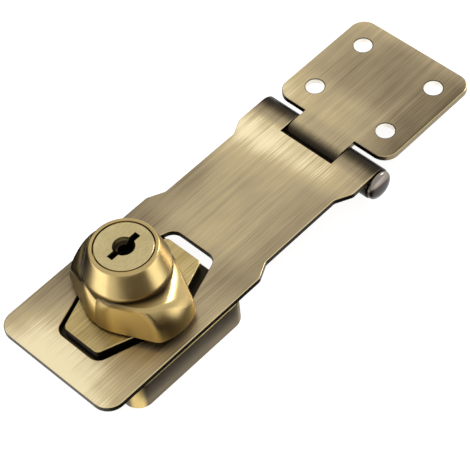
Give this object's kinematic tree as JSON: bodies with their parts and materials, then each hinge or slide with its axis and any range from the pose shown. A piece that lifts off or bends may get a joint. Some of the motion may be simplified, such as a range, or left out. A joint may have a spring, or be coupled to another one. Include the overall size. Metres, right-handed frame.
{
  "type": "keyed hasp lock",
  "caption": "Hinged hasp in brushed antique brass with a slotted strap over a hexagonal boss, locked by a two-wing turn knob that carries a keyed wafer cylinder.",
  "frame": {"origin": "on the knob's axis at the base's underside, the centre of the four base screw holes", "axes": "+X along the strap to the hinge, +Z away from the mounting surface, +Y across the strap"},
  "size_m": [0.1305, 0.0424, 0.0296],
  "materials": {
    "brushed_sheet": "antique brass plate over steel sheet, brushed along the strap",
    "cast_zinc": "antique brass plate over a zinc casting, satin",
    "cast_zinc_satin": "antique brass plate over a zinc casting, polished satin",
    "plug_brass": "pale satin brass face",
    "cylinder_brass": "plain turned brass",
    "pin_steel": "dark bronze, semi-gloss",
    "plain_steel": "plain zinc-plated steel"
  },
  "bodies": {
    "base": {"base_housing": "cast_zinc", "strap": "brushed_sheet", "hinge_pin": "pin_steel"},
    "leaf": {"hinge_leaf": "brushed_sheet"},
    "knob": {"knob": "cast_zinc_satin", "cylinder_shell": "cylinder_brass", "stop_pin": "pin_steel", "neck_washer": "plain_steel", "snap_ring": "plain_steel"},
    "plug": {"plug": "plug_brass", "tail_cam": "pin_steel", "wafer_spring_1": "plain_steel", "wafer_spring_2": "plain_steel", "wafer_spring_3": "plain_steel", "wafer_spring_4": "plain_steel", "wafer_spring_5": "plain_steel"},
    "bolt": {"locking_bolt": "plain_steel"},
    "wafer_1": {"wafer_1": "cylinder_brass"},
    "wafer_2": {"wafer_2": "cylinder_brass"},
    "wafer_3": {"wafer_3": "cylinder_brass"},
    "wafer_4": {"wafer_4": "cylinder_brass"},
    "wafer_5": {"wafer_5": "cylinder_brass"}
  },
  "joints": [
    {"name": "leaf_hinge", "type": "hinge", "parent": "base", "child": "leaf", "pos_m": [0.0654, 0, 0.0058], "axis": [0, -1, 0], "range_deg": [-180, 75]},
    {"name": "knob_turn", "type": "hinge", "parent": "base", "child": "knob", "pos_m": [0, 0, 0.02], "axis": [0, 0, 1], "range_deg": [0, 90]},
    {"name": "plug_turn", "type": "hinge", "parent": "knob", "child": "plug", "pos_m": [0, 0, 0.02], "axis": [0, 0, 1], "range_deg": [0, 90]},
    {"name": "bolt_slide", "type": "slide", "parent": "knob", "child": "bolt", "axis": [-1, 0, 0], "range_m": [0, 0.00283]},
    {"name": "wafer_1_slide", "type": "slide", "parent": "plug", "child": "wafer_1", "axis": [1, 0, 0], "range_m": [0, 0.0006]},
    {"name": "wafer_2_slide", "type": "slide", "parent": "plug", "child": "wafer_2", "axis": [1, 0, 0], "range_m": [0, 0.0006]},
    {"name": "wafer_3_slide", "type": "slide", "parent": "plug", "child": "wafer_3", "axis": [1, 0, 0], "range_m": [0, 0.0006]},
    {"name": "wafer_4_slide", "type": "slide", "parent": "plug", "child": "wafer_4", "axis": [1, 0, 0], "range_m": [0, 0.0006]},
    {"name": "wafer_5_slide", "type": "slide", "parent": "plug", "child": "wafer_5", "axis": [1, 0, 0], "range_m": [0, 0.0006]}
  ],
  "couplings": [
    {"joint": "bolt_slide", "follows": "plug_turn", "m_per_rad": 0.0018},
    {"joint": "wafer_2_slide", "follows": "wafer_1_slide", "ratio": 1},
    {"joint": "wafer_3_slide", "follows": "wafer_1_slide", "ratio": 1},
    {"joint": "wafer_4_slide", "follows": "wafer_1_slide", "ratio": 1},
    {"joint": "wafer_5_slide", "follows": "wafer_1_slide", "ratio": 1}
  ]
}
